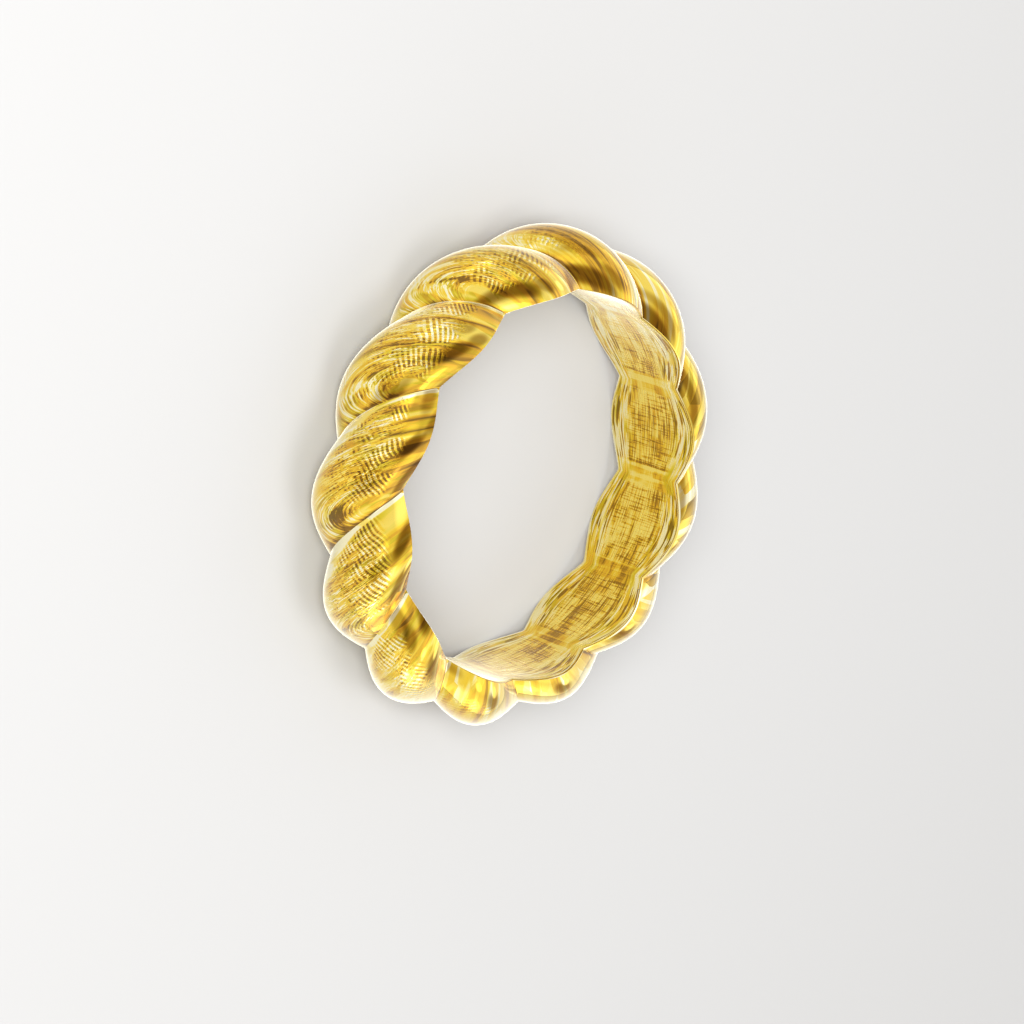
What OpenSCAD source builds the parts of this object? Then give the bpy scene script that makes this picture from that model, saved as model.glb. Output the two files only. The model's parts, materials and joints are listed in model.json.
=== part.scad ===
// Spiral finger ring: a rope of two fused round strands, bent into a hoop and
// bored smooth inside. It lies on its side, with its axis upright and the lobes
// of its lower face on the plane z = 0. All sizes are in millimetres.

/* [Ring] */
// Inside diameter, where the finger goes
inside_d = 18; // [15:0.1:22]
// Lobes counted once round the outside
lobes = 12; // [8:1:16]
// Depth that the bore is cut past the middle line of the rope
bored_past_middle = 0.07; // [0:0.01:0.4]

/* [Rope] */
// Strands twisted together
strands = 2; // [2:1:3]
// Diameter of one round strand
strand_d = 4; // [3:0.1:5]
// Distance from the middle of the rope to the middle of a strand
strand_offset = 0.68; // [0.4:0.01:1]
// Lay of the rope: 1 for right-hand, -1 for left-hand
lay = 1; // [-1, 1]

/* [Hidden] */

strand_r = strand_d / 2;
inside_r = inside_d / 2;
rope_r = inside_r - bored_past_middle;

// The bore's edge is highest where a strand passes over the side of the ring
half_width = strand_offset + sqrt(pow(strand_r, 2) - pow(bored_past_middle, 2));

// Two neighbouring strands meet on the ray halfway between them
share = 360 / strands;
valley_r = strand_offset * cos(share / 2) + sqrt(pow(strand_r, 2) - pow(strand_offset * sin(share / 2), 2));
valley_angle = atan2(valley_r * sin(share / 2), valley_r * cos(share / 2) - strand_offset);

// Both counts are even, so a corner of the mesh lies on the crest of each lobe
section_corners = 28;
hoop_steps = 192;
arc_steps = 2 * floor(section_corners / (2 * strands));
steps_per_lobe = 2 * floor(hoop_steps / (2 * lobes));
steps = lobes * steps_per_lobe;
corners = strands * arc_steps;

// How far the bore cutter runs past each side of the ring
bore_overrun = 1;
bore_segments = 96;

// Corner of a strand's open arc, from one valley towards the next
function arc_corner(angle) = [strand_offset + strand_r * cos(angle), strand_r * sin(angle)];

function turned(point, angle) = [
    point.x * cos(angle) - point.y * sin(angle),
    point.x * sin(angle) + point.y * cos(angle)
];

// Outline of the rope's section, anticlockwise, with each valley as one corner
section = [
    for (strand = [0 : strands - 1])
        for (i = [0 : arc_steps - 1])
            turned(arc_corner(valley_angle * (2 * i / arc_steps - 1)), strand * share)
];

// The section turns about the rope's middle by one share for each lobe
function twist_at(step) = -lay * share * step / steps_per_lobe;

function on_hoop(point, step) =
    let (around = 360 * step / steps, radius = rope_r + point.x)
        [radius * cos(around), radius * sin(around), point.y];

rope_points = [
    for (step = [0 : steps - 1])
        for (corner = section)
            on_hoop(turned(corner, twist_at(step)), step)
];

// After the last step the section has turned by whole shares, so the seam joins
// each corner to the one that took its place
seam_shift = lay * lobes * arc_steps;

function corner_index(step, i) =
    let (crossed = step == steps ? seam_shift : 0)
        (step % steps) * corners + (((i - crossed) % corners) + corners) % corners;

// Each cell is split along its shorter diagonal, which depends on the lay
function cell_faces(a, b, c, d) = lay > 0 ? [[a, d, c], [a, c, b]] : [[a, d, b], [b, d, c]];

rope_faces = [
    for (step = [0 : steps - 1])
        for (i = [0 : corners - 1])
            for (face = cell_faces(
                corner_index(step, i),
                corner_index(step + 1, i),
                corner_index(step + 1, i + 1),
                corner_index(step, i + 1)
            )) face
];

module rope_hoop() {
    polyhedron(points = rope_points, faces = rope_faces);
}

module finger_bore() {
    cylinder(h = 2 * (half_width + bore_overrun), d = inside_d, center = true, $fn = bore_segments);
}

module twisted_band() {
    color("gold")
        translate([0, 0, half_width])
            difference() {
                rope_hoop();
                finger_bore();
            }
}

twisted_band();
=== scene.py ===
"""Rope twist finger ring: its modelled band, its gold finish and its stage.

The band is made as a goldsmith would make it: a bar of two fused round strands
is twisted, cut flat along one side and bent into a hoop, so the flat side
becomes the bore. All sizes are in metres, and +Z is the ring's axis.
"""

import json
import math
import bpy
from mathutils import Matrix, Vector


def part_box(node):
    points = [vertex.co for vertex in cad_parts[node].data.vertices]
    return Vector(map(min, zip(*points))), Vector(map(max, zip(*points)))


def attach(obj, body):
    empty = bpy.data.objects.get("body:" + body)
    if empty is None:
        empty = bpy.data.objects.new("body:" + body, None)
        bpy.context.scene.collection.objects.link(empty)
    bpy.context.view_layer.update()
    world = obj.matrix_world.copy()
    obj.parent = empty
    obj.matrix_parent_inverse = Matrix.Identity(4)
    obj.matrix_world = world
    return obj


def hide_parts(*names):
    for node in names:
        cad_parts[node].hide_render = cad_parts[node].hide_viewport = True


bl_info = {
    "name": "Rope Twist Ring",
    "version": (1, 0, 0),
    "blender": (4, 5, 0),
    "location": "View3D > Sidebar > Ring",
    "description": "Models a rope twist ring over its frame, finishes it in gold and sets its stage",
    "category": "Add Mesh",
}

import bpy
from bpy.props import BoolProperty, FloatProperty, FloatVectorProperty, IntProperty, PointerProperty
from bpy.types import Operator, Panel, PropertyGroup
from mathutils import Matrix, Vector

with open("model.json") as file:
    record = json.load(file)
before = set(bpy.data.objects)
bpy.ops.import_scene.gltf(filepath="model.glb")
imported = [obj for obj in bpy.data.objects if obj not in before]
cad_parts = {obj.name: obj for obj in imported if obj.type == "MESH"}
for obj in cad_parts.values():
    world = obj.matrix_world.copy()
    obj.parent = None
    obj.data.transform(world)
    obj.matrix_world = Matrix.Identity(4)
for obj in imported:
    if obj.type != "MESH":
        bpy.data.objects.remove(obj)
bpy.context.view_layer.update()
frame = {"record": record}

MM = 0.001
NODE = "twisted_band"
BODY = "root"

FINGER_HOLE = next(m for m in frame["record"]["mounts"] if m["name"] == "finger_hole")
BAND_LOW, BAND_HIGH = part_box(NODE)
INSIDE_RADIUS = FINGER_HOLE["dims"]["r_mm"] * MM
OUTSIDE_RADIUS = (BAND_HIGH.x - BAND_LOW.x) / 2
MIDDLE_HEIGHT = (BAND_LOW.z + BAND_HIGH.z) / 2

# Map of the band: u counts lobes round the hoop, v runs across strand one from 0 to 1,
# across strand two from 1 to 2, and across the bore from 2 to 3
MAP_NAME = "Strands"
BORE_START = 2

# The band's material slots
STRANDS, LIPS, BORE = range(3)

# Width and depth of each step of a lip, as shares of the whole lip
LIP_STEPS = ((0.35, 0.6), (0.65, 0.4))

# Points closer than this are one point
SEAM_GAP = 0.002 * MM

# Points closer than this to a cutting plane lie on it
CUT_GAP = 0.0001 * MM

# Faces that meet flatter than this are shaded as one smooth surface
SMOOTH_ANGLE = math.radians(30)

# Unit of relief: the finest marks stand up to two of these over the gold, or as far under it
MARK_HEIGHT = 0.006 * MM

# Tones of the gold between 0, which is brown, and 1, which is cream
DEEP_TONE = 0.30
GOLD_TONE = 0.58
BRIGHT_TONE = 0.84

# Plain tone of each part, before its marks are added
STRAND_TONE = 0.62
# The lips' tone is painted pale, a painted highlight along the bore's mouths
LIP_TONE = 0.80
BORE_TONE = 0.70

# Darkest tone that the marks leave in the bore
DARKEST_BORE_TONE = 0.05

# Tones between which the olive tint comes in, from none to full
OLIVE_TONES = (0.85, 0.55)

# Clear gloss over the gold: its share in the bore, where it is thinner, and its roughness
BORE_GLOSS = 0.4
GLOSS_ROUGHNESS = 0.03

# Roughness of the sheen, which sets how far it reaches in from the turned edges
SHEEN_ROUGHNESS = 0.29

# Zones of the strands: the places where each zone has faded out and where it is full. Z is the
# height over the floor, and the last three are distances from the ring's axis
TOOLED_X = (2 * MM, -6 * MM)
TOOLED_Y = (-16 * MM, -4 * MM)
# The side at -Y is painted paler, a painted reflection
PALER_Y = (-4 * MM, -9 * MM)
FACETED_X = (5 * MM, 8 * MM)
FACETED_Z = (2.2 * MM, 3.4 * MM)
# The foot of a tooled lobe is painted paler, a painted highlight
FOOT_Z = (2.7 * MM, 1.6 * MM)
CURLS_Z = (0.9 * MM, 1.6 * MM)
TOOLED_START = (10.0 * MM, 11.0 * MM)
LADDER_START = (10.0 * MM, 10.4 * MM)
LADDER_END = (11.4 * MM, 11.1 * MM)

# The same for zones across a strand, from 0 at the edge where a highlight is painted to 1 at its groove,
# where shade is painted
GROOVE = (0.95, 1.0)
OPEN_LOBE_END = (0.94, 0.86)
CURLS_START = (0.45, 0.65)

# The same for the rings of curled grain, in their own width from the middle of the turn
RINGS_START = (0.18, 0.28)
RINGS_END = (0.62, 0.52)

# The same along the curled grain, in lobes from the start of the turn
PAST_TURN = (0.0, 0.10)
EDGE_HIGHLIGHT_END = (-0.05, -0.3)

# Stretch along the curled grain in which the painted edge highlight widens, its least and greatest width
# as shares of the strand's, and the edges of its soft side as shares of its own width
EDGE_HIGHLIGHT_WIDENS = (-0.7, -0.15)
EDGE_HIGHLIGHT_WIDTHS = (0.04, 0.29)
EDGE_HIGHLIGHT_SIDE = (1.1, 0.7)

# Zones of the bore: the side with fewer marks, the rims, counted from the bore's middle line,
# and the pinches, counted in lobes from the widest place between two of them
SMOOTHER_Y = (5.0 * MM, 8.5 * MM)
BY_RIM = (0.18, 0.36)
AT_PINCH = (0.38, 0.41)
NEAR_PINCH = (0.37, 0.41)
PINCH_LINES_START = (0.365, 0.375)
PINCH_LINES_END = (0.400, 0.390)

# Values of the painted reflection bands at which they get a darker core, and of the facets at which they
# turn olive
BAND_CORES = (-0.75, -1.0)
OLIVE_FACETS = (0.35, 0.30)

# Each strand comes to the outside in every second lobe
LOBE_STEP = 2

# How far curled grain runs on round the end of a lobe, in lobes for each radian of its turn
CURL_SWEEP = 0.35

# Step through the noise from one lobe's grain to the next
LOBE_LAYER = 5.3

# Height on the wave of rungs, from -1 to 1, where a rung's soft edges end
RUNG_EDGE = 0.7

# Share of a soft patch's spread in which it has its full strength
PATCH_CORE = 0.3

# Least light from any part of the room
DARKEST_LIGHT = 0.05

# Light of a part of the room that has the whole shade colour, and of one that has none of it
SHADE_LIGHTS = (0.2, 1.0)


class RingShapeSettings(PropertyGroup):
    """Sizes of the twisted band"""

    inside_radius: FloatProperty(
        name="Inside radius",
        description="Radius of the finger bore",
        default=INSIDE_RADIUS,
        min=5 * MM,
        subtype="DISTANCE",
        unit="LENGTH",
        precision=5,
    )
    outside_radius: FloatProperty(
        name="Outside radius",
        description="Radius over the crests of the lobes",
        default=OUTSIDE_RADIUS,
        min=6 * MM,
        subtype="DISTANCE",
        unit="LENGTH",
        precision=5,
    )
    bored_past_middle: FloatProperty(
        name="Bored past middle",
        description="Depth that the bore is cut past the middle line of the rope",
        default=0.07 * MM,
        min=0,
        subtype="DISTANCE",
        unit="LENGTH",
        precision=5,
    )
    strand_radius: FloatProperty(
        name="Strand radius",
        description="Radius of one round strand",
        default=2.0 * MM,
        min=1 * MM,
        subtype="DISTANCE",
        unit="LENGTH",
        precision=5,
    )
    lobes: IntProperty(
        name="Lobes",
        description="Lobes counted once round the outside, two for each full twist",
        default=12,
        min=6,
        max=24,
    )
    right_hand: BoolProperty(
        name="Right-hand lay",
        description="Twist the rope to the right, as the common lay is",
        default=True,
    )
    valley_fillet: FloatProperty(
        name="Valley fillet",
        description="Width of the rounding where the two strands meet",
        default=0.07 * MM,
        min=0,
        subtype="DISTANCE",
        unit="LENGTH",
        precision=5,
    )
    lip_width: FloatProperty(
        name="Lip width",
        description="Width of the eased lip round each mouth of the bore",
        default=0.14 * MM,
        min=0,
        subtype="DISTANCE",
        unit="LENGTH",
        precision=5,
    )
    lip_depth: FloatProperty(
        name="Lip depth",
        description="Depth of the eased lip, measured outwards from the bore",
        default=0.06 * MM,
        min=0,
        subtype="DISTANCE",
        unit="LENGTH",
        precision=5,
    )
    circle_points: IntProperty(
        name="Points round a strand",
        description="Points on the full circle that a strand's outline starts as",
        default=108,
        min=24,
        max=240,
    )
    cuts_per_lobe: IntProperty(
        name="Cuts per lobe",
        description="Cuts across the bar in the length of one lobe",
        default=63,
        min=7,
        max=99,
    )
    bore_rows: IntProperty(
        name="Rows across the bore",
        description="Rows of faces between the two rims of the bore",
        default=14,
        min=2,
        max=40,
    )


class GoldSettings(PropertyGroup):
    """Colours and finish of the gold"""

    # Cream is also the colour of the painted highlight along the tooled lobes' turned edges
    cream: FloatVectorProperty(
        name="Cream",
        description="Colour of the palest worn edges",
        default=(1.0, 0.93, 0.60),
        min=0,
        max=1,
        subtype="COLOR",
    )
    # Bright gold also colours the lighter painted reflection bands and the painted highlight on the lips
    bright: FloatVectorProperty(
        name="Bright gold",
        description="Colour of the pale polished streaks",
        default=(1.0, 0.79, 0.16),
        min=0,
        max=1,
        subtype="COLOR",
    )
    gold: FloatVectorProperty(
        name="Gold",
        description="Main colour of the gold",
        default=(0.94, 0.63, 0.03),
        min=0,
        max=1,
        subtype="COLOR",
    )
    deep: FloatVectorProperty(
        name="Deep gold",
        description="Colour of the gold in the darker streaks",
        default=(0.80, 0.43, 0.02),
        min=0,
        max=1,
        subtype="COLOR",
    )
    # Brown also darkens the grooves between the strands, where shade is painted
    brown: FloatVectorProperty(
        name="Brown",
        description="Colour left in the deepest lines and between the strands",
        default=(0.25, 0.12, 0.005),
        min=0,
        max=1,
        subtype="COLOR",
    )
    olive_tint: FloatVectorProperty(
        name="Olive tint",
        description="Tint of the greener patches",
        default=(0.80, 0.90, 0.50),
        min=0,
        max=1,
        subtype="COLOR",
    )
    polish: FloatProperty(
        name="Polish",
        description="Roughness of the polished gold",
        default=0.06,
        min=0,
        max=1,
        subtype="FACTOR",
    )
    gloss_index: FloatProperty(
        name="Gloss index",
        description="Refractive index of the clear gloss over the gold",
        default=1.35,
        min=1,
        max=3,
    )
    rim_sheen: FloatProperty(
        name="Rim sheen",
        description="Pale sheen where the surface turns away",
        default=0.85,
        min=0,
        max=1,
        subtype="FACTOR",
    )
    sheen_colour: FloatVectorProperty(
        name="Sheen colour",
        description="Tint of the rim sheen",
        default=(1.0, 0.97, 0.80),
        min=0,
        max=1,
        subtype="COLOR",
    )


class StageSettings(PropertyGroup):
    """Camera, floor and studio light"""

    azimuth: FloatProperty(
        name="Azimuth",
        description="Direction the ring is seen from, round its axis from +X",
        default=math.radians(166.6),
        subtype="ANGLE",
        unit="ROTATION",
    )
    elevation: FloatProperty(
        name="Elevation",
        description="Height of the view above the floor",
        default=math.radians(41.43),
        subtype="ANGLE",
        unit="ROTATION",
    )
    roll: FloatProperty(
        name="Roll",
        description="Turn of the camera about its view, which stands the ring upright in the picture",
        default=math.radians(109.1),
        subtype="ANGLE",
        unit="ROTATION",
    )
    distance: FloatProperty(
        name="Distance",
        description="Distance from the camera to the middle of the ring",
        default=168.73 * MM,
        subtype="DISTANCE",
        unit="LENGTH",
    )
    ring_right: FloatProperty(
        name="Ring to the right",
        description="How far the ring's middle lies right of the picture's middle",
        default=0.187 * MM,
        subtype="DISTANCE",
        unit="LENGTH",
        precision=5,
    )
    ring_up: FloatProperty(
        name="Ring up",
        description="How far the ring's middle lies above the picture's middle",
        default=1.604 * MM,
        subtype="DISTANCE",
        unit="LENGTH",
        precision=5,
    )
    lens: FloatProperty(
        name="Lens",
        description="Focal length in millimetres on a 36 mm wide sensor",
        default=130.99,
        min=10,
    )
    floor_size: FloatProperty(
        name="Floor size",
        description="Width of the square floor",
        default=3.0,
        subtype="DISTANCE",
        unit="LENGTH",
    )
    floor_colour: FloatVectorProperty(
        name="Floor colour",
        description="Colour of the pale floor",
        default=(0.37, 0.37, 0.37),
        min=0,
        max=1,
        subtype="COLOR",
    )
    room_light: FloatProperty(
        name="Room light",
        description="Brightness of the plain soft light from all round",
        default=0.95,
        min=0,
    )
    shade_colour: FloatVectorProperty(
        name="Shade colour",
        description="Tint of the light from the room's darkest parts",
        default=(1.0, 0.76, 0.48),
        min=0,
        max=1,
        subtype="COLOR",
    )
    lamp_distance: FloatProperty(
        name="Lamp distance",
        description="Distance from each lamp to the ring",
        default=300 * MM,
        subtype="DISTANCE",
        unit="LENGTH",
    )
    lamp_width: FloatProperty(
        name="Lamp width",
        description="Width across each round lamp",
        default=160 * MM,
        subtype="DISTANCE",
        unit="LENGTH",
    )


def select_nothing():
    """Leaves edit mode and deselects every object."""
    if bpy.context.mode != "OBJECT":
        bpy.ops.object.mode_set(mode="OBJECT")
    bpy.ops.object.select_all(action="DESELECT")


def pick(piece):
    """Makes one piece the only selected object."""
    select_nothing()
    bpy.context.view_layer.objects.active = piece
    piece.select_set(True)


def edit(piece, mode):
    """Opens one piece for editing vertices, edges or faces, with nothing selected."""
    pick(piece)
    bpy.ops.object.mode_set(mode="EDIT")
    bpy.ops.mesh.select_mode(type=mode)
    bpy.ops.mesh.select_all(action="DESELECT")


def select_where(piece, kind, test):
    """Selects only the vertices, edges or faces of the open piece that pass a test."""
    bpy.ops.mesh.select_all(action="DESELECT")
    bpy.ops.object.mode_set(mode="OBJECT")
    for element in getattr(piece.data, kind):
        element.select = test(element)
    bpy.ops.object.mode_set(mode="EDIT")


def apply_modifier(piece, kind, **settings):
    """Adds one modifier with the settings given, and applies it."""
    pick(piece)
    modifier = piece.modifiers.new(kind.title(), kind)
    for name, value in settings.items():
        setattr(modifier, name, value)
    bpy.ops.object.modifier_apply(modifier=modifier.name)


def close_seams(piece):
    """Merges the points that lie on each other."""
    edit(piece, "VERT")
    bpy.ops.mesh.select_all(action="SELECT")
    bpy.ops.mesh.remove_doubles(threshold=SEAM_GAP)
    select_nothing()


def cut_away(piece, height):
    """Cuts the open piece level at a height along Y, and clears what lies beyond."""
    bpy.ops.mesh.select_all(action="SELECT")
    bpy.ops.mesh.bisect(
        plane_co=(0, height, 0),
        plane_no=(0, 1, 0),
        use_fill=False,
        clear_outer=True,
        threshold=CUT_GAP,
    )


class RopeSizes:
    """Sizes that follow from the ring's settings."""

    def __init__(self, shape):
        self.rope_radius = shape.inside_radius - shape.bored_past_middle
        self.strand_radius = shape.strand_radius
        self.strand_offset = shape.outside_radius - self.rope_radius - shape.strand_radius
        self.length = 2 * math.pi * self.rope_radius
        self.lobe_length = self.length / shape.lobes
        self.lay = 1 if shape.right_hand else -1
        self.twist = math.pi * shape.lobes * self.lay
        self.cut_height = self.rope_radius - shape.inside_radius - shape.lip_depth
        self.valley_angle = math.acos(-self.strand_offset / self.strand_radius)
        self.bore_run = 2 * math.pi * shape.inside_radius / shape.lobes
        self.bore_width = 2 * self.strand_radius
        self.strand_width = 2 * self.valley_angle * self.strand_radius
        crest_round = 2 * math.pi * shape.outside_radius / shape.lobes
        crest_up = math.pi * (shape.outside_radius - self.rope_radius)
        self.strand_run = math.hypot(crest_round, crest_up)

        # How far a step straight across the map runs along the strand, in lobes
        self.lean = -self.lay * crest_up * self.strand_width / self.strand_run**2

    def rim_heights(self, lobes_round):
        """Lower and upper rim of the bore, from its middle, at a place counted in lobes from a crest."""
        crest_turn = -self.lay * math.pi * lobes_round
        middles = [self.strand_offset * math.sin(crest_turn + half) for half in (0, math.pi)]
        across = [self.strand_offset * math.cos(crest_turn + half) for half in (0, math.pi)]
        reaches = [math.sqrt(self.strand_radius**2 - (self.cut_height + part) ** 2) for part in across]
        lower = min(middle - reach for middle, reach in zip(middles, reaches))
        upper = max(middle + reach for middle, reach in zip(middles, reaches))
        return lower, upper


def strand_outline(shape, sizes):
    """The rope's outline: a circle cut at the rope's middle and mirrored, ready at one end of the bar."""
    bpy.ops.mesh.primitive_circle_add(
        vertices=shape.circle_points,
        radius=sizes.strand_radius,
        fill_type="NOTHING",
        location=(-sizes.length / 2, -sizes.strand_offset, 0),
        rotation=(0, math.pi / 2, 0),
    )
    bar = bpy.context.active_object
    bar.name = bar.data.name = "rope_band"
    bpy.ops.object.transform_apply(location=True, rotation=True, scale=True)
    edit(bar, "VERT")
    cut_away(bar, 0)
    apply_modifier(bar, "MIRROR", use_axis=(False, True, False), merge_threshold=SEAM_GAP)
    edit(bar, "VERT")
    select_where(bar, "vertices", lambda point: abs(point.co.y) < SEAM_GAP)
    bpy.ops.mesh.bevel(offset=shape.valley_fillet, segments=4, affect="VERTICES")
    return bar


def strand_bar(shape, sizes):
    """The straight bar: one lobe's length is extruded and cut across, then repeated."""
    bar = strand_outline(shape, sizes)
    edit(bar, "EDGE")
    bpy.ops.mesh.select_all(action="SELECT")
    bpy.ops.mesh.extrude_region_move(TRANSFORM_OT_translate={"value": (sizes.lobe_length, 0, 0)})
    points = bar.data.vertices

    def runs_along(edge):
        one, other = (points[i].co for i in edge.vertices)
        return abs(one.x - other.x) > sizes.lobe_length / 2

    select_where(bar, "edges", runs_along)
    bpy.ops.mesh.subdivide(number_cuts=shape.cuts_per_lobe)
    apply_modifier(bar, "ARRAY", count=shape.lobes, relative_offset_displace=(1, 0, 0))
    close_seams(bar)
    return bar


def map_strands(bar, shape, sizes):
    """Maps the straight bar: u counts lobes along it, and v runs across each strand."""
    layer = bar.data.uv_layers.new(name=MAP_NAME)
    for face in bar.data.polygons:
        side = -1 if face.center.y < 0 else 1
        for loop in face.loop_indices:
            point = bar.data.vertices[bar.data.loops[loop].vertex_index].co
            outwards = side * point.y - sizes.strand_offset
            angle = math.atan2(-side * point.z, outwards)
            across = 0.5 + angle / (2 * sizes.valley_angle)
            layer.data[loop].uv = (point.x / sizes.lobe_length + shape.lobes / 2, across + (side > 0))


def close_hoop(bar, shape, sizes):
    """Twists the bar, cuts it flat on the finger's side and bends it round into a hoop."""
    apply_modifier(bar, "SIMPLE_DEFORM", deform_method="TWIST", deform_axis="X", angle=sizes.twist)
    edit(bar, "VERT")
    cut_away(bar, sizes.cut_height)
    apply_modifier(bar, "SIMPLE_DEFORM", deform_method="BEND", deform_axis="Z", angle=2 * math.pi)
    close_seams(bar)
    edit(bar, "VERT")
    bpy.ops.mesh.select_all(action="SELECT")
    bpy.ops.transform.translate(value=(0, -sizes.rope_radius, MIDDLE_HEIGHT))
    select_nothing()


def wall_bore(bar, shape):
    """Walls the finger bore between its two wavy rims, and eases both rims into rounded lips.

    The bar has its three materials by now: strands, lips and bore.
    """
    edit(bar, "EDGE")
    bpy.ops.mesh.select_non_manifold(
        extend=False,
        use_wire=False,
        use_boundary=True,
        use_multi_face=False,
        use_non_contiguous=False,
        use_verts=False,
    )
    bpy.ops.mesh.bridge_edge_loops(number_cuts=shape.bore_rows - 1, interpolation="LINEAR")
    bpy.ops.mesh.select_mode(type="FACE")
    bar.active_material_index = LIPS
    bpy.ops.object.material_slot_assign()
    bpy.ops.mesh.select_all(action="SELECT")
    bpy.ops.mesh.normals_make_consistent(inside=False)
    bpy.ops.mesh.select_all(action="DESELECT")
    bpy.ops.object.material_slot_select()
    for width_share, depth_share in LIP_STEPS:
        bpy.ops.mesh.inset(thickness=shape.lip_width * width_share, depth=shape.lip_depth * depth_share)
    bar.active_material_index = BORE
    bpy.ops.object.material_slot_assign()
    select_nothing()


def map_bore(bar, shape, sizes):
    """Maps the bore and its lips: u counts lobes round, and v runs from the lower rim to the upper."""
    layer = bar.data.uv_layers[MAP_NAME]
    for face in bar.data.polygons:
        if face.material_index == STRANDS:
            continue
        middle = lobes_round(face.center, shape)
        for loop in face.loop_indices:
            point = bar.data.vertices[bar.data.loops[loop].vertex_index].co
            round_hoop = lobes_round(point, shape)
            round_hoop += shape.lobes * round((middle - round_hoop) / shape.lobes)
            lower, upper = sizes.rim_heights(round_hoop)
            across = (point.z - MIDDLE_HEIGHT - lower) / (upper - lower)
            layer.data[loop].uv = (round_hoop, BORE_START + min(max(across, 0.0), 1.0))


def lobes_round(point, shape):
    """How many lobes round the hoop a point lies from the crest on +X."""
    return (math.atan2(point.y, point.x) / (2 * math.pi) % 1) * shape.lobes


def link(tree, value, socket):
    """Feeds a socket from another socket, or sets it to a plain value."""
    if isinstance(value, bpy.types.NodeSocket):
        tree.links.new(value, socket)
    else:
        socket.default_value = value


class Nodes:
    """Short ways to add nodes to one node tree."""

    def __init__(self, tree):
        self.tree = tree

    def add(self, kind, inputs=(), **settings):
        """One node with these settings, and with the inputs given here fed or set."""
        node = self.tree.nodes.new(kind)
        for name, value in settings.items():
            setattr(node, name, value)
        for name, value in dict(inputs).items():
            link(self.tree, value, node.inputs[name])
        return node

    def work(self, operation, *values):
        """The result of one step of arithmetic."""
        return self.add("ShaderNodeMath", enumerate(values), operation=operation).outputs[0]

    def point(self, x, y, z):
        """A point from its three parts."""
        return self.add("ShaderNodeCombineXYZ", {"X": x, "Y": y, "Z": z}).outputs[0]

    def parts(self, point):
        """The three parts of a point."""
        split = self.add("ShaderNodeSeparateXYZ", {"Vector": point})
        return split.outputs["X"], split.outputs["Y"], split.outputs["Z"]

    def fade(self, value, start, end):
        """A soft step from 0 at the start to 1 at the end, whichever of the two is greater."""
        node = self.add(
            "ShaderNodeMapRange",
            {"Value": value, "From Min": start, "From Max": end},
            interpolation_type="SMOOTHSTEP",
        )
        return node.outputs[0]

    def total(self, *values):
        """The sum of all the values."""
        result = values[0]
        for value in values[1:]:
            result = self.work("ADD", result, value)
        return result

    def product(self, *values):
        """The product of all the values."""
        result = values[0]
        for value in values[1:]:
            result = self.work("MULTIPLY", result, value)
        return result

    def between(self, share, low, high):
        """The value that lies this share of the way from low to high."""
        return self.work("MULTIPLY_ADD", share, high - low, low)

    def without(self, value, share=1.0):
        """What is left of 1 when this share of the value is taken from it."""
        return self.between(value, 1.0, 1.0 - share)

    def swing(self, value, amount):
        """A value from 0 to 1 turned into one that swings either way by the amount."""
        return self.product(self.work("SUBTRACT", value, 0.5), amount, 2.0)

    def from_middle(self, count):
        """How far a count has run from the middle of its unit: 0 there, and 0.5 at both ends."""
        return self.work("ABSOLUTE", self.work("SUBTRACT", self.work("FRACT", count), 0.5))


def map_place(nodes):
    """Place on the band's map: along and across."""
    along, across, _ = nodes.parts(nodes.add("ShaderNodeUVMap", uv_map=MAP_NAME).outputs["UV"])
    return along, across


def own_place(nodes):
    """Place on the band in its own frame: X, Y and Z."""
    return nodes.parts(nodes.add("ShaderNodeTexCoord").outputs["Object"])


def from_axis(nodes, x, y):
    """Distance of a place from the ring's axis."""
    flat = nodes.point(x, y, 0.0)
    return nodes.add("ShaderNodeVectorMath", {0: flat}, operation="LENGTH").outputs["Value"]


class Grain:
    """Streaks and lines drawn on the band's map, sized in real lengths.

    Each kind of grain has a place function of its own. It gives the place on the map,
    counted in patches of a length along the map and a width across it.
    """

    def __init__(self, nodes, along, across, lobe_run, width):
        self.nodes = nodes
        self.along = along
        self.across = across
        self.lobe_run = lobe_run
        self.width = width

    def noise(self, length, width, seed):
        """Soft noise in patches of about this length along the map and this width across it."""
        noise = self.nodes.add(
            "ShaderNodeTexNoise",
            {"Vector": self.place(length, width, seed), "Scale": 1.0, "Detail": 1.0, "Roughness": 0.4},
            noise_dimensions="3D",
        )
        return noise.outputs["Fac"]

    def facets(self, length, width, seed):
        """One plain value from 0 to 1 on each of many straight-edged patches of about this size."""
        cells = self.nodes.add(
            "ShaderNodeTexVoronoi",
            {"Vector": self.place(length, width, seed), "Scale": 1.0},
            voronoi_dimensions="3D",
        )
        return self.nodes.add("ShaderNodeSeparateColor", {"Color": cells.outputs["Color"]}).outputs["Red"]

    def streaks(self, length, width, seed, low, high):
        """Streaks from 0 to 1: a higher low makes them sparser, and a wider gap to high softer."""
        return self.nodes.fade(self.noise(length, width, seed), low, high)

    def nested_bands(self, length, width, seed, count):
        """A wave from -1 to 1 whose long bands lie one inside the other, as reflections on a bar do."""
        turns = self.nodes.product(self.noise(length, width, seed), count * 2 * math.pi)
        return self.nodes.work("SINE", turns)

    def rungs(self, spacing, wobble):
        """Even lines straight across the map, from 0 to 1, whose places wander by the wobble."""
        per_lobe = round(self.lobe_run / spacing)
        place = self.nodes.work("MULTIPLY_ADD", self.along, per_lobe, wobble)
        wave = self.nodes.work("SINE", self.nodes.product(place, 2 * math.pi))
        return self.nodes.fade(wave, -RUNG_EDGE, RUNG_EDGE)


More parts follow.
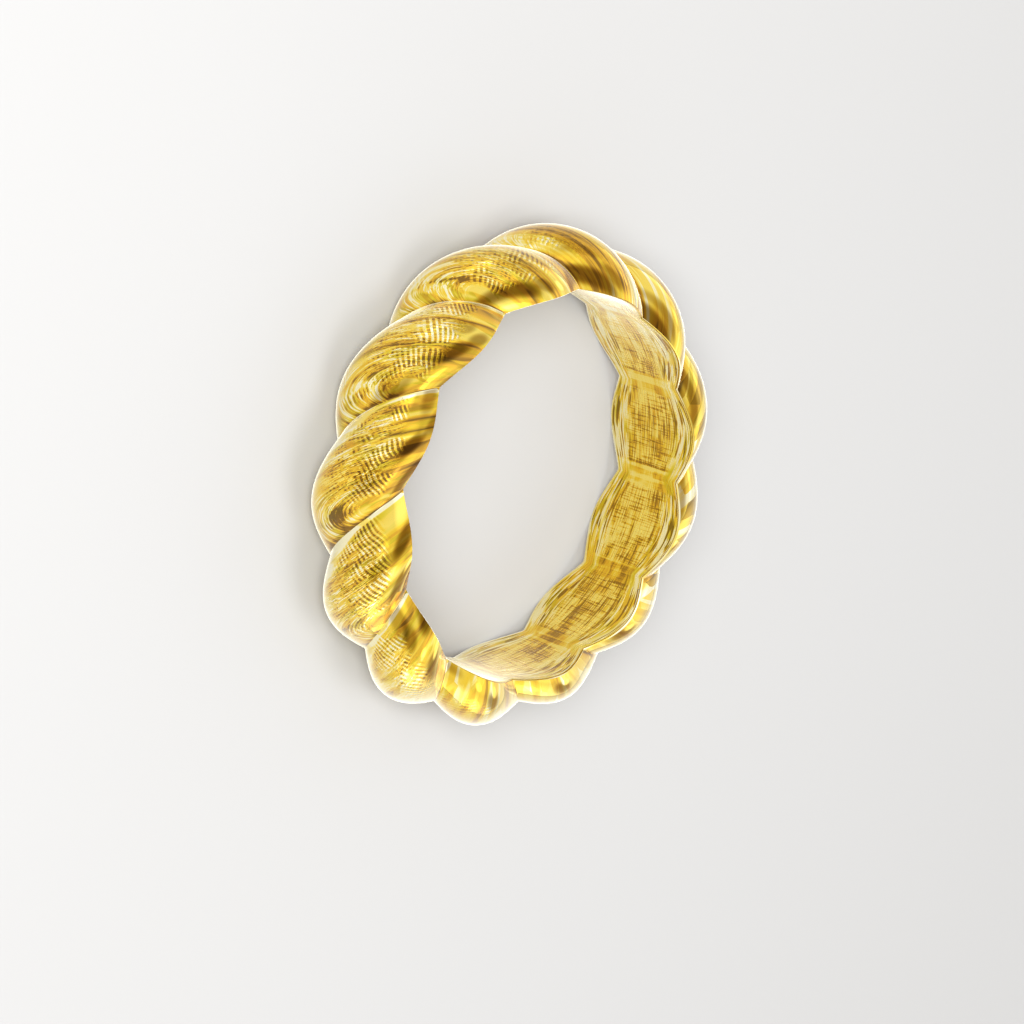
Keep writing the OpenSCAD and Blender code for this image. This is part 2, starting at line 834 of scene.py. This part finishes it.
class HoopGrain(Grain):
    """Grain that runs on from lobe to lobe and closes round the hoop."""

    def __init__(self, nodes, along, across, lobe_run, width, lobes):
        super().__init__(nodes, along, across, lobe_run, width)
        self.lobes = lobes

    def place(self, length, width, seed):
        """Place on the map rolled up into a hoop, so that its two ends meet."""
        nodes = self.nodes
        turn = nodes.work("MULTIPLY", self.along, 2 * math.pi / self.lobes)
        reach = self.lobes * self.lobe_run / length / (2 * math.pi)
        x = nodes.work("MULTIPLY", nodes.work("COSINE", turn), reach)
        y = nodes.work("MULTIPLY", nodes.work("SINE", turn), reach)
        z = nodes.work("MULTIPLY_ADD", self.across, self.width / width, seed)
        return nodes.point(x, y, z)

    def curled(self, crest_shift, squash):
        """The same grain, curled round one end of every lobe instead of running straight off it.

        The turn starts at the crest shift, in lobes past the crest. The squash is the share of the
        strand's width that its rings take for one lobe. Along the curled map, 0 is where the turn
        starts. Across it, 0 is the middle of the turn.
        """
        nodes = self.nodes
        strand = nodes.work("FLOOR", self.across)
        run = nodes.total(self.along, strand, 1.0 - crest_shift)
        turn = nodes.work("FLOOR", nodes.product(run, 1 / LOBE_STEP))
        lobe = nodes.work("MULTIPLY_ADD", turn, LOBE_STEP, strand)
        past_crest = nodes.work("SUBTRACT", nodes.work("FLOORED_MODULO", run, LOBE_STEP), 1.0)
        to_edge = nodes.work("SUBTRACT", 1.0, nodes.work("FRACT", self.across))
        to_edge = nodes.product(to_edge, 1 / squash)
        turned = nodes.work("MAXIMUM", past_crest, 0.0)
        squares = nodes.total(nodes.product(turned, turned), nodes.product(to_edge, to_edge))
        from_turn = nodes.work("SQRT", squares)
        sweep = nodes.product(nodes.work("ARCTAN2", turned, to_edge), CURL_SWEEP)
        reach = nodes.total(nodes.work("MINIMUM", past_crest, 0.0), sweep)
        return LobeGrain(nodes, reach, from_turn, self.lobe_run, self.width * squash, lobe)


class LobeGrain(Grain):
    """Grain that starts afresh on every lobe, so it needn't close round the hoop."""

    def __init__(self, nodes, along, across, lobe_run, width, lobe):
        super().__init__(nodes, along, across, lobe_run, width)
        self.lobe = lobe

    def place(self, length, width, seed):
        """Place on the flat map, with each lobe in a layer of the noise of its own."""
        nodes = self.nodes
        x = nodes.product(self.along, self.lobe_run / length)
        y = nodes.product(self.across, self.width / width)
        z = nodes.work("MULTIPLY_ADD", self.lobe, LOBE_LAYER, seed)
        return nodes.point(x, y, z)


def gold_material(name, gold, gloss=1.0):
    """A polished gold material with its shader, ready for its pattern."""
    material = bpy.data.materials.new(name)
    material.use_nodes = True
    shader = material.node_tree.nodes["Principled BSDF"]
    finish = {
        "Metallic": 1.0,
        "Roughness": gold.polish,
        "Coat Weight": gloss,
        "Coat Roughness": GLOSS_ROUGHNESS,
        "Coat IOR": gold.gloss_index,
        "Sheen Weight": gold.rim_sheen,
        "Sheen Roughness": SHEEN_ROUGHNESS,
        "Sheen Tint": (*gold.sheen_colour, 1),
    }
    for socket, value in finish.items():
        shader.inputs[socket].default_value = value
    return material, Nodes(material.node_tree), shader


def gold_colours(nodes, gold, tone):
    """Colour of the gold for a tone from 0, brown, to 1, cream."""
    ramp = nodes.add("ShaderNodeValToRGB", {"Fac": tone})
    stops = ramp.color_ramp.elements
    stops[0].color = (*gold.brown, 1)
    stops[1].color = (*gold.cream, 1)
    for place, colour in ((DEEP_TONE, gold.deep), (GOLD_TONE, gold.gold), (BRIGHT_TONE, gold.bright)):
        stop = stops.new(place)
        stop.color = (*colour, 1)
    return ramp.outputs["Color"]


def finish_gold(nodes, shader, gold, tone, relief, olive):
    """Colours the gold by its tone, tints it olive where it isn't bright, and raises its marks."""
    green = nodes.product(olive, nodes.fade(tone, *OLIVE_TONES))
    tint = nodes.add("ShaderNodeMix", {"Factor": green}, data_type="RGBA", blend_type="MULTIPLY")
    link(nodes.tree, gold_colours(nodes, gold, tone), tint.inputs["A"])
    tint.inputs["B"].default_value = (*gold.olive_tint, 1)
    link(nodes.tree, tint.outputs["Result"], shader.inputs["Base Color"])
    bump = nodes.add("ShaderNodeBump", {"Height": relief, "Strength": 1.0, "Distance": MARK_HEIGHT})
    link(nodes.tree, bump.outputs["Normal"], shader.inputs["Normal"])


class StrandZones:
    """Where each finish lies on the strands: 1 inside a zone and 0 outside it, with soft edges.

    The lobes at -X are tooled, and those at +X and at -Y are faceted. Those at -Y are also painted paler,
    a painted reflection.
    """

    def __init__(self, nodes, across, curls):
        self.nodes = nodes
        self.curls = curls
        self.x, self.y, self.z = own_place(nodes)
        self.from_axis = from_axis(nodes, self.x, self.y)
        self.from_edge = nodes.work("FRACT", across)
        self.tooled_side = nodes.product(nodes.fade(self.x, *TOOLED_X), nodes.fade(self.y, *TOOLED_Y))
        self.smooth_side = nodes.without(self.tooled_side)
        self.paler_side = nodes.fade(self.y, *PALER_Y)
        self.foot = nodes.product(nodes.fade(self.z, *FOOT_Z), self.tooled_side)
        # The groove between the strands, where shade is painted
        self.groove = nodes.fade(self.from_edge, *GROOVE)
        self.past_turn = nodes.fade(curls.along, *PAST_TURN)
        self.edge_highlight = self.find_edge_highlight()
        self.curled = self.find_curled()
        self.open_lobe = self.find_open_lobe()
        self.tooled = self.find_tooled()
        self.laddered = self.find_laddered()
        self.faceted = self.find_faceted()

    def find_edge_highlight(self):
        """The painted highlight along the edge of a tooled lobe, which widens up to the turn and ends
        there.
        """
        nodes = self.nodes
        width = nodes.between(nodes.fade(self.curls.along, *EDGE_HIGHLIGHT_WIDENS), *EDGE_HIGHLIGHT_WIDTHS)
        return nodes.product(
            self.tooled_side,
            nodes.fade(nodes.work("DIVIDE", self.from_edge, width), *EDGE_HIGHLIGHT_SIDE),
            nodes.fade(self.curls.along, *EDGE_HIGHLIGHT_END),
        )

    def find_curled(self):
        """The ring of curled lines round the lower end of a tooled lobe."""
        nodes = self.nodes
        return nodes.product(
            self.tooled_side,
            self.past_turn,
            nodes.fade(self.curls.across, *RINGS_START),
            nodes.fade(self.curls.across, *RINGS_END),
            nodes.fade(self.from_edge, *CURLS_START),
            nodes.fade(self.z, *CURLS_Z),
        )

    def find_open_lobe(self):
        """The rest of a lobe, clear of its painted edge highlight, its groove, its turn's middle and its
        curls.
        """
        nodes = self.nodes
        in_rings = nodes.fade(self.curls.across, *reversed(RINGS_START))
        turn_middle = nodes.product(self.past_turn, in_rings)
        return nodes.product(
            nodes.without(self.edge_highlight),
            nodes.fade(self.from_edge, *OPEN_LOBE_END),
            nodes.without(turn_middle),
            nodes.without(self.curled, 0.5),
        )

    def find_tooled(self):
        """The outer part of a tooled lobe, above its foot, where the fine dashes lie."""
        nodes = self.nodes
        outer_part = nodes.fade(self.from_axis, *TOOLED_START)
        above_foot = nodes.fade(self.z, *reversed(FOOT_Z))
        return nodes.product(self.tooled_side, outer_part, self.open_lobe, above_foot)

    def find_laddered(self):
        """The belt of short rungs on a tooled lobe, between the bore and the crest."""
        nodes = self.nodes
        return nodes.product(
            self.tooled_side,
            nodes.fade(self.from_axis, *LADDER_START),
            nodes.fade(self.from_axis, *LADDER_END),
            self.open_lobe,
        )

    def find_faceted(self):
        """The upper half of the faceted lobes."""
        nodes = self.nodes
        far_side = nodes.fade(self.x, *FACETED_X)
        faceted_sides = nodes.work("MAXIMUM", far_side, self.paler_side)
        return nodes.product(faceted_sides, nodes.fade(self.z, *FACETED_Z))


class StrandMarks:
    """The patterns of the strands. Each runs from 0 to 1, and the painted reflection bands from -1 to 1.

    The grain follows the strand, the square grain's rungs lie square across it, and the
    curls turn round the lower end of every lobe.
    """

    def __init__(self, nodes, grain, square_grain, curls):
        self.bands = grain.nested_bands(length=16 * MM, width=2.4 * MM, seed=2, count=5)
        self.long_lines = grain.streaks(length=10 * MM, width=0.30 * MM, seed=73, low=0.46, high=0.54)
        self.facets = grain.facets(length=2.2 * MM, width=0.9 * MM, seed=83)
        self.orange_patches = curls.streaks(length=2.5 * MM, width=0.7 * MM, seed=8, low=0.50, high=0.60)
        self.olive_patches = curls.streaks(length=2.0 * MM, width=0.5 * MM, seed=61, low=0.52, high=0.60)
        wander = square_grain.noise(length=1.5 * MM, width=1.5 * MM, seed=43)
        self.rungs = square_grain.rungs(spacing=0.24 * MM, wobble=nodes.product(wander, 1.6))
        self.ladders = square_grain.streaks(length=1.8 * MM, width=1.2 * MM, seed=37, low=0.46, high=0.52)
        dashes = curls.streaks(length=0.55 * MM, width=0.08 * MM, seed=23, low=0.53, high=0.60)
        self.dark_dashes = nodes.product(dashes, nodes.without(self.rungs, 0.6))
        self.pale_dashes = curls.streaks(length=0.5 * MM, width=0.08 * MM, seed=29, low=0.53, high=0.60)
        self.dark_curls = curls.streaks(length=4.0 * MM, width=0.32 * MM, seed=53, low=0.50, high=0.58)
        self.pale_curls = curls.streaks(length=4.0 * MM, width=0.09 * MM, seed=59, low=0.56, high=0.60)
        self.fine_curls = curls.streaks(length=2.0 * MM, width=0.05 * MM, seed=67, low=0.42, high=0.58)


def strand_tone(nodes, zones, marks, laddered):
    """Tone of the strands: their plain tone, and what each pattern adds to it in its own zone."""
    # How strongly the painted reflection bands show in each zone
    band_strength = nodes.total(
        1.0,
        nodes.product(zones.tooled_side, -0.35),
        nodes.product(zones.tooled, -0.2),
        nodes.product(zones.foot, -0.3),
        nodes.product(zones.faceted, -0.7),
    )
    line_strength = nodes.product(zones.smooth_side, nodes.without(zones.faceted), 0.14)
    facet_strength = nodes.product(zones.faceted, nodes.between(zones.paler_side, 0.42, 0.22))
    patched_side = nodes.work("MAXIMUM", zones.tooled_side, zones.paler_side)
    return nodes.total(
        STRAND_TONE,
        # Painted reflections: long bands of lighter and darker gold, with darker cores
        nodes.swing(nodes.fade(marks.bands, -1.0, 1.0), nodes.product(band_strength, 0.22)),
        nodes.product(nodes.fade(marks.bands, *BAND_CORES), band_strength, -0.25),
        nodes.swing(marks.long_lines, line_strength),
        nodes.swing(marks.facets, facet_strength),
        nodes.product(marks.orange_patches, patched_side, -0.30),
        nodes.product(marks.dark_dashes, zones.tooled, -0.65),
        nodes.product(marks.pale_dashes, zones.tooled, 0.40),
        nodes.swing(marks.rungs, nodes.product(laddered, 0.32)),
        nodes.product(marks.dark_curls, zones.curled, -0.35),
        nodes.product(marks.pale_curls, zones.curled, 0.45),
        nodes.swing(marks.fine_curls, nodes.product(zones.curled, 0.15)),
        # Painted highlight: the edge of each tooled lobe that turns away is painted pale
        nodes.product(zones.edge_highlight, 0.50),
        # Painted shade: the groove between the strands is darkened
        nodes.product(zones.groove, -0.35),
        # Painted reflection: the lobes at -Y are painted paler
        nodes.product(zones.paler_side, 0.08),
        # Painted highlight: the foot of each tooled lobe, next to the floor, is painted paler
        nodes.product(zones.foot, 0.16),
    )


def strand_gold(shape, sizes, gold):
    """Gold of the strands: long smooth bands of painted reflection, tool marks on one side, facets on two
    others, painted highlights on turned edges and painted shade in the grooves.
    """
    material, nodes, shader = gold_material("Polished gold, strands", gold)
    along, across = map_place(nodes)
    square = nodes.work("MULTIPLY_ADD", across, sizes.lean, along)
    grain, square_grain = (
        HoopGrain(nodes, run, across, sizes.strand_run, sizes.strand_width, shape.lobes)
        for run in (along, square)
    )
    curls = grain.curled(crest_shift=0.05, squash=0.8)
    zones = StrandZones(nodes, across, curls)
    marks = StrandMarks(nodes, grain, square_grain, curls)
    laddered = nodes.product(zones.laddered, marks.ladders)
    tone = strand_tone(nodes, zones, marks, laddered)
    relief = nodes.total(
        nodes.product(marks.dark_dashes, zones.tooled, -2.0),
        nodes.product(marks.pale_dashes, zones.tooled, 2.0),
        nodes.product(marks.rungs, laddered, 1.5),
    )
    olive_facets = nodes.fade(marks.facets, *OLIVE_FACETS)
    olive = nodes.total(
        nodes.product(marks.olive_patches, zones.tooled_side),
        nodes.product(olive_facets, zones.faceted, nodes.without(zones.paler_side)),
    )
    finish_gold(nodes, shader, gold, tone, relief, olive)
    return material


def lip_gold(shape, sizes, gold):
    """Gold of the eased lips round the bore, painted palest of all as a painted highlight, with painted
    glints.
    """
    material, nodes, shader = gold_material("Polished gold, lips", gold)
    along, across = map_place(nodes)
    grain = HoopGrain(nodes, along, across, sizes.bore_run, sizes.bore_width, shape.lobes)
    # Painted glints along the lips
    glints = grain.streaks(length=1.5 * MM, width=0.1 * MM, seed=5, low=0.36, high=0.64)
    tone = nodes.total(LIP_TONE, nodes.product(glints, 0.2))
    link(nodes.tree, gold_colours(nodes, gold, tone), shader.inputs["Base Color"])
    return material


class BoreZones:
    """Where each finish lies in the bore: 1 inside a zone and 0 outside it, with soft edges.

    A pinch is a place where the two wavy rims come closest, once in every lobe.
    """

    def __init__(self, nodes, along, across):
        _, y, self.z = own_place(nodes)
        from_widest = nodes.from_middle(along)
        off_pinch = nodes.without(nodes.fade(from_widest, *AT_PINCH), 0.7)
        self.by_rim = nodes.fade(nodes.from_middle(across), *BY_RIM)
        self.off_rims = nodes.without(self.by_rim)
        self.smoother_side = nodes.fade(y, *SMOOTHER_Y)
        self.woven = nodes.product(self.off_rims, off_pinch, nodes.without(self.smoother_side, 0.6))
        self.leafy = nodes.product(nodes.between(self.by_rim, 0.25, 1.0), off_pinch)
        self.near_pinch = nodes.product(nodes.fade(from_widest, *NEAR_PINCH), self.off_rims)
        self.beside_pinch = nodes.product(
            nodes.fade(from_widest, *PINCH_LINES_START),
            nodes.fade(from_widest, *PINCH_LINES_END),
        )


class BoreMarks:
    """The patterns of the bore, each from 0 to 1: the grain follows both rims, and the weave is level."""

    def __init__(self, grain, weave):
        self.shades = grain.streaks(length=2.2 * MM, width=0.40 * MM, seed=31, low=0.38, high=0.62)
        self.dark_leaves = grain.streaks(length=1.3 * MM, width=0.075 * MM, seed=2, low=0.53, high=0.61)
        self.pale_leaves = grain.streaks(length=1.2 * MM, width=0.075 * MM, seed=5, low=0.53, high=0.60)
        self.olive_patches = grain.streaks(length=1.3 * MM, width=0.3 * MM, seed=71, low=0.46, high=0.56)
        self.patches = weave.streaks(length=1.2 * MM, width=0.9 * MM, seed=7, low=0.42, high=0.58)
        self.dark_lines = weave.streaks(length=1.8 * MM, width=0.06 * MM, seed=11, low=0.53, high=0.60)
        self.pale_lines = grain.streaks(length=1.8 * MM, width=0.05 * MM, seed=17, low=0.53, high=0.60)
        self.cross_lines = weave.streaks(length=0.06 * MM, width=1.1 * MM, seed=23, low=0.54, high=0.60)
        self.cross_bands = weave.streaks(length=0.30 * MM, width=9.0 * MM, seed=41, low=0.44, high=0.56)
        self.end_lines = weave.streaks(length=1.5 * MM, width=2.0 * MM, seed=47, low=0.48, high=0.54)


def bore_tone(nodes, zones, marks):
    """Tone of the bore: its plain tone, and what each pattern adds to it in its own zone."""
    tone = nodes.total(
        BORE_TONE,
        nodes.swing(marks.shades, nodes.between(zones.by_rim, 0.14, 0.24)),
        nodes.product(marks.dark_leaves, zones.leafy, -0.85),
        nodes.product(marks.pale_leaves, zones.leafy, 0.48),
        nodes.swing(marks.patches, nodes.product(zones.off_rims, 0.20)),
        nodes.product(marks.dark_lines, zones.woven, -0.54),
        nodes.product(marks.pale_lines, zones.woven, 0.36),
        nodes.product(marks.cross_lines, zones.woven, -0.50),
        nodes.swing(marks.cross_bands, nodes.product(zones.near_pinch, 0.22)),
        nodes.product(zones.beside_pinch, marks.end_lines, zones.off_rims, -0.55),
        nodes.product(zones.smoother_side, 0.10),
    )
    palest = nodes.total(
        BRIGHT_TONE,
        nodes.product(zones.by_rim, 0.12),
        nodes.product(zones.smoother_side, 0.16),
    )
    return nodes.work("MINIMUM", nodes.work("MAXIMUM", tone, DARKEST_BORE_TONE), palest)


def bore_gold(shape, sizes, gold):
    """Gold of the bore: leaf-shaped streaks along both rims, and a fine weave of lines between them."""
    material, nodes, shader = gold_material("Polished gold, bore", gold, BORE_GLOSS)
    along, across = map_place(nodes)
    zones = BoreZones(nodes, along, across)
    level = nodes.product(zones.z, 1 / sizes.bore_width)
    grain, weave = (
        HoopGrain(nodes, along, height, sizes.bore_run, sizes.bore_width, shape.lobes)
        for height in (across, level)
    )
    marks = BoreMarks(grain, weave)
    tone = bore_tone(nodes, zones, marks)
    relief = nodes.total(
        nodes.product(marks.pale_leaves, zones.by_rim),
        nodes.product(marks.pale_lines, zones.woven, 0.7),
        nodes.product(marks.cross_lines, zones.woven, -0.7),
    )
    olive = nodes.product(marks.olive_patches, zones.by_rim)
    finish_gold(nodes, shader, gold, tone, relief, olive)
    return material


class RING_OT_twisted_band(Operator):
    """Model the twisted band, seat it in its frame and finish it in gold"""

    bl_idname = "ring.twisted_band"
    bl_label = "Twisted band"
    bl_options = {"REGISTER", "UNDO"}

    def execute(self, context):
        shape = context.scene.ring_shape
        gold = context.scene.ring_gold
        sizes = RopeSizes(shape)
        select_nothing()
        bar = strand_bar(shape, sizes)
        map_strands(bar, shape, sizes)
        close_hoop(bar, shape, sizes)
        for finish in (strand_gold, lip_gold, bore_gold):
            bar.data.materials.append(finish(shape, sizes, gold))
        wall_bore(bar, shape)
        map_bore(bar, shape, sizes)
        pick(bar)
        bpy.ops.object.shade_smooth_by_angle(angle=SMOOTH_ANGLE)
        select_nothing()
        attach(bar, BODY)
        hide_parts(NODE)
        return {"FINISHED"}


def direction(azimuth, elevation):
    """Unit vector towards an azimuth, measured from +X, and an elevation, both in degrees."""
    turn, rise = math.radians(azimuth), math.radians(elevation)
    return Vector((math.cos(turn) * math.cos(rise), math.sin(turn) * math.cos(rise), math.sin(rise)))


# Soft patches on the studio's walls and ceiling, seen from the ring: azimuth, elevation and
# spread in degrees, and how much brighter or darker each is than the room
SOFT_PATCHES = (
    ("ceiling", 350, 86, 26, -0.75),
    ("right wall", 285, 5, 38, 0.60),
    ("front wall", 350, 32, 26, 0.40),
    ("front panel", 305, 50, 18, 0.40),
    ("corner", 325, 16, 18, -0.60),
    ("left corner", 205, 28, 26, -0.40),
    ("left beam", 230, 45, 20, -0.55),
    ("lamp", 183, 46, 16, 0.60),
    ("back beam", 30, 52, 20, -0.55),
    ("far beam", 72, 32, 18, -0.45),
    ("back panel", 110, 58, 18, 0.40),
    ("window", 110, 12, 15, 0.60),
    ("far corner", 78, 13, 12, -0.40),
    ("far wall", 30, 0, 18, 0.40),
    ("right window", 285, 15, 12, 1.20),
    ("high window", 292, 48, 8, 1.20),
    ("front window", 335, 22, 8, 1.00),
    ("left window", 100, 10, 8, 1.00),
    ("back window", 20, 20, 8, 0.80),
)


def light_room(stage):
    """Soft light from all round, with broad lighter and darker patches as a studio's walls have."""
    world = bpy.data.worlds.new("Soft studio")
    bpy.context.scene.world = world
    world.use_nodes = True
    nodes = Nodes(world.node_tree)
    towards = nodes.add("ShaderNodeTexCoord").outputs["Generated"]
    light = 1.0
    for name, azimuth, elevation, spread, change in SOFT_PATCHES:
        middle = direction(azimuth, elevation)
        near = nodes.add(
            "ShaderNodeVectorMath", {0: towards, 1: middle}, operation="DOT_PRODUCT", label=name
        )
        edge = math.cos(math.radians(spread))
        core = math.cos(math.radians(spread * PATCH_CORE))
        patch = nodes.fade(near.outputs["Value"], edge, core)
        light = nodes.work("MULTIPLY_ADD", patch, change, light)
    tint = nodes.add("ShaderNodeMix", {"Factor": nodes.fade(light, *SHADE_LIGHTS)}, data_type="RGBA")
    tint.inputs["A"].default_value = (*stage.shade_colour, 1)
    tint.inputs["B"].default_value = (1, 1, 1, 1)
    background = world.node_tree.nodes["Background"]
    link(nodes.tree, tint.outputs["Result"], background.inputs["Color"])
    light = nodes.work("MAXIMUM", light, DARKEST_LIGHT)
    link(nodes.tree, nodes.product(light, stage.room_light), background.inputs["Strength"])


# Broad soft lamps that light the floor, inside the ring and close to it: azimuth and elevation
# in degrees, and power in watts
LAMPS = (
    ("top lamp", 0, 90, 0.40),
    ("front lamp", 166.6, 41.4, 1.5),
)


def hang_lamps(stage):
    """The lamps, aimed at the ring. The gold doesn't mirror them."""
    for name, azimuth, elevation, power in LAMPS:
        back = direction(azimuth, elevation)
        bpy.ops.object.light_add(type="AREA", location=stage.lamp_distance * back)
        lamp = bpy.context.active_object
        lamp.name = lamp.data.name = name
        lamp.rotation_euler = back.to_track_quat("Z", "Y").to_euler()
        lamp.data.shape = "DISK"
        lamp.data.size = stage.lamp_width
        lamp.data.energy = power
        lamp.visible_glossy = False
        lamp.visible_camera = False


def lay_floor(stage):
    """The plain pale floor that the ring lies on."""
    bpy.ops.mesh.primitive_plane_add(size=stage.floor_size, location=(0, 0, 0))
    floor = bpy.context.active_object
    floor.name = floor.data.name = "floor"
    material = bpy.data.materials.new("Pale floor")
    material.use_nodes = True
    shader = material.node_tree.nodes["Principled BSDF"]
    shader.inputs["Base Color"].default_value = (*stage.floor_colour, 1)
    shader.inputs["Roughness"].default_value = 0.6
    floor.data.materials.append(material)


def place_camera(stage):
    """The camera at the photograph's angle to the ring."""
    camera_data = bpy.data.cameras.new("camera")
    camera_data.lens = stage.lens
    camera_data.clip_start = 1 * MM
    camera = bpy.data.objects.new("camera", camera_data)
    bpy.context.scene.collection.objects.link(camera)
    back = direction(math.degrees(stage.azimuth), math.degrees(stage.elevation))
    level = Vector((0, 0, 1)).cross(back).normalized()
    right = Matrix.Rotation(stage.roll, 3, back) @ level
    up = back.cross(right)
    middle = Vector((0, 0, MIDDLE_HEIGHT))
    camera.location = middle - stage.ring_right * right - stage.ring_up * up + stage.distance * back
    camera.rotation_mode = "QUATERNION"
    camera.rotation_quaternion = Matrix((right, up, back)).transposed().to_quaternion()
    bpy.context.scene.camera = camera


class RING_OT_stage(Operator):
    """Set the floor, the light and the camera"""

    bl_idname = "ring.stage"
    bl_label = "Stage"
    bl_options = {"REGISTER", "UNDO"}

    def execute(self, context):
        stage = context.scene.ring_stage
        select_nothing()
        lay_floor(stage)
        light_room(stage)
        hang_lamps(stage)
        place_camera(stage)
        context.scene.view_settings.view_transform = "Standard"
        return {"FINISHED"}


class RING_PT_panel(Panel):
    """Ring panel in the 3D view's sidebar"""

    bl_idname = "RING_PT_panel"
    bl_label = "Rope twist ring"
    bl_space_type = "VIEW_3D"
    bl_region_type = "UI"
    bl_category = "Ring"

    def draw(self, context):
        layout = self.layout
        layout.operator(RING_OT_twisted_band.bl_idname)
        layout.operator(RING_OT_stage.bl_idname)
        for title, settings in (
            ("Shape", context.scene.ring_shape),
            ("Gold", context.scene.ring_gold),
            ("Stage", context.scene.ring_stage),
        ):
            layout.label(text=title)
            for name in settings.bl_rna.properties.keys():
                if name not in ("rna_type", "name"):
                    layout.prop(settings, name)


CLASSES = (
    RingShapeSettings,
    GoldSettings,
    StageSettings,
    RING_OT_twisted_band,
    RING_OT_stage,
    RING_PT_panel,
)


def register():
    for cls in CLASSES:
        bpy.utils.register_class(cls)
    bpy.types.Scene.ring_shape = PointerProperty(type=RingShapeSettings)
    bpy.types.Scene.ring_gold = PointerProperty(type=GoldSettings)
    bpy.types.Scene.ring_stage = PointerProperty(type=StageSettings)


def unregister():
    del bpy.types.Scene.ring_stage
    del bpy.types.Scene.ring_gold
    del bpy.types.Scene.ring_shape
    for cls in reversed(CLASSES):
        bpy.utils.unregister_class(cls)


def main():
    register()
    bpy.ops.ring.twisted_band()
    bpy.ops.ring.stage()


if __name__ == "__main__":
    main()
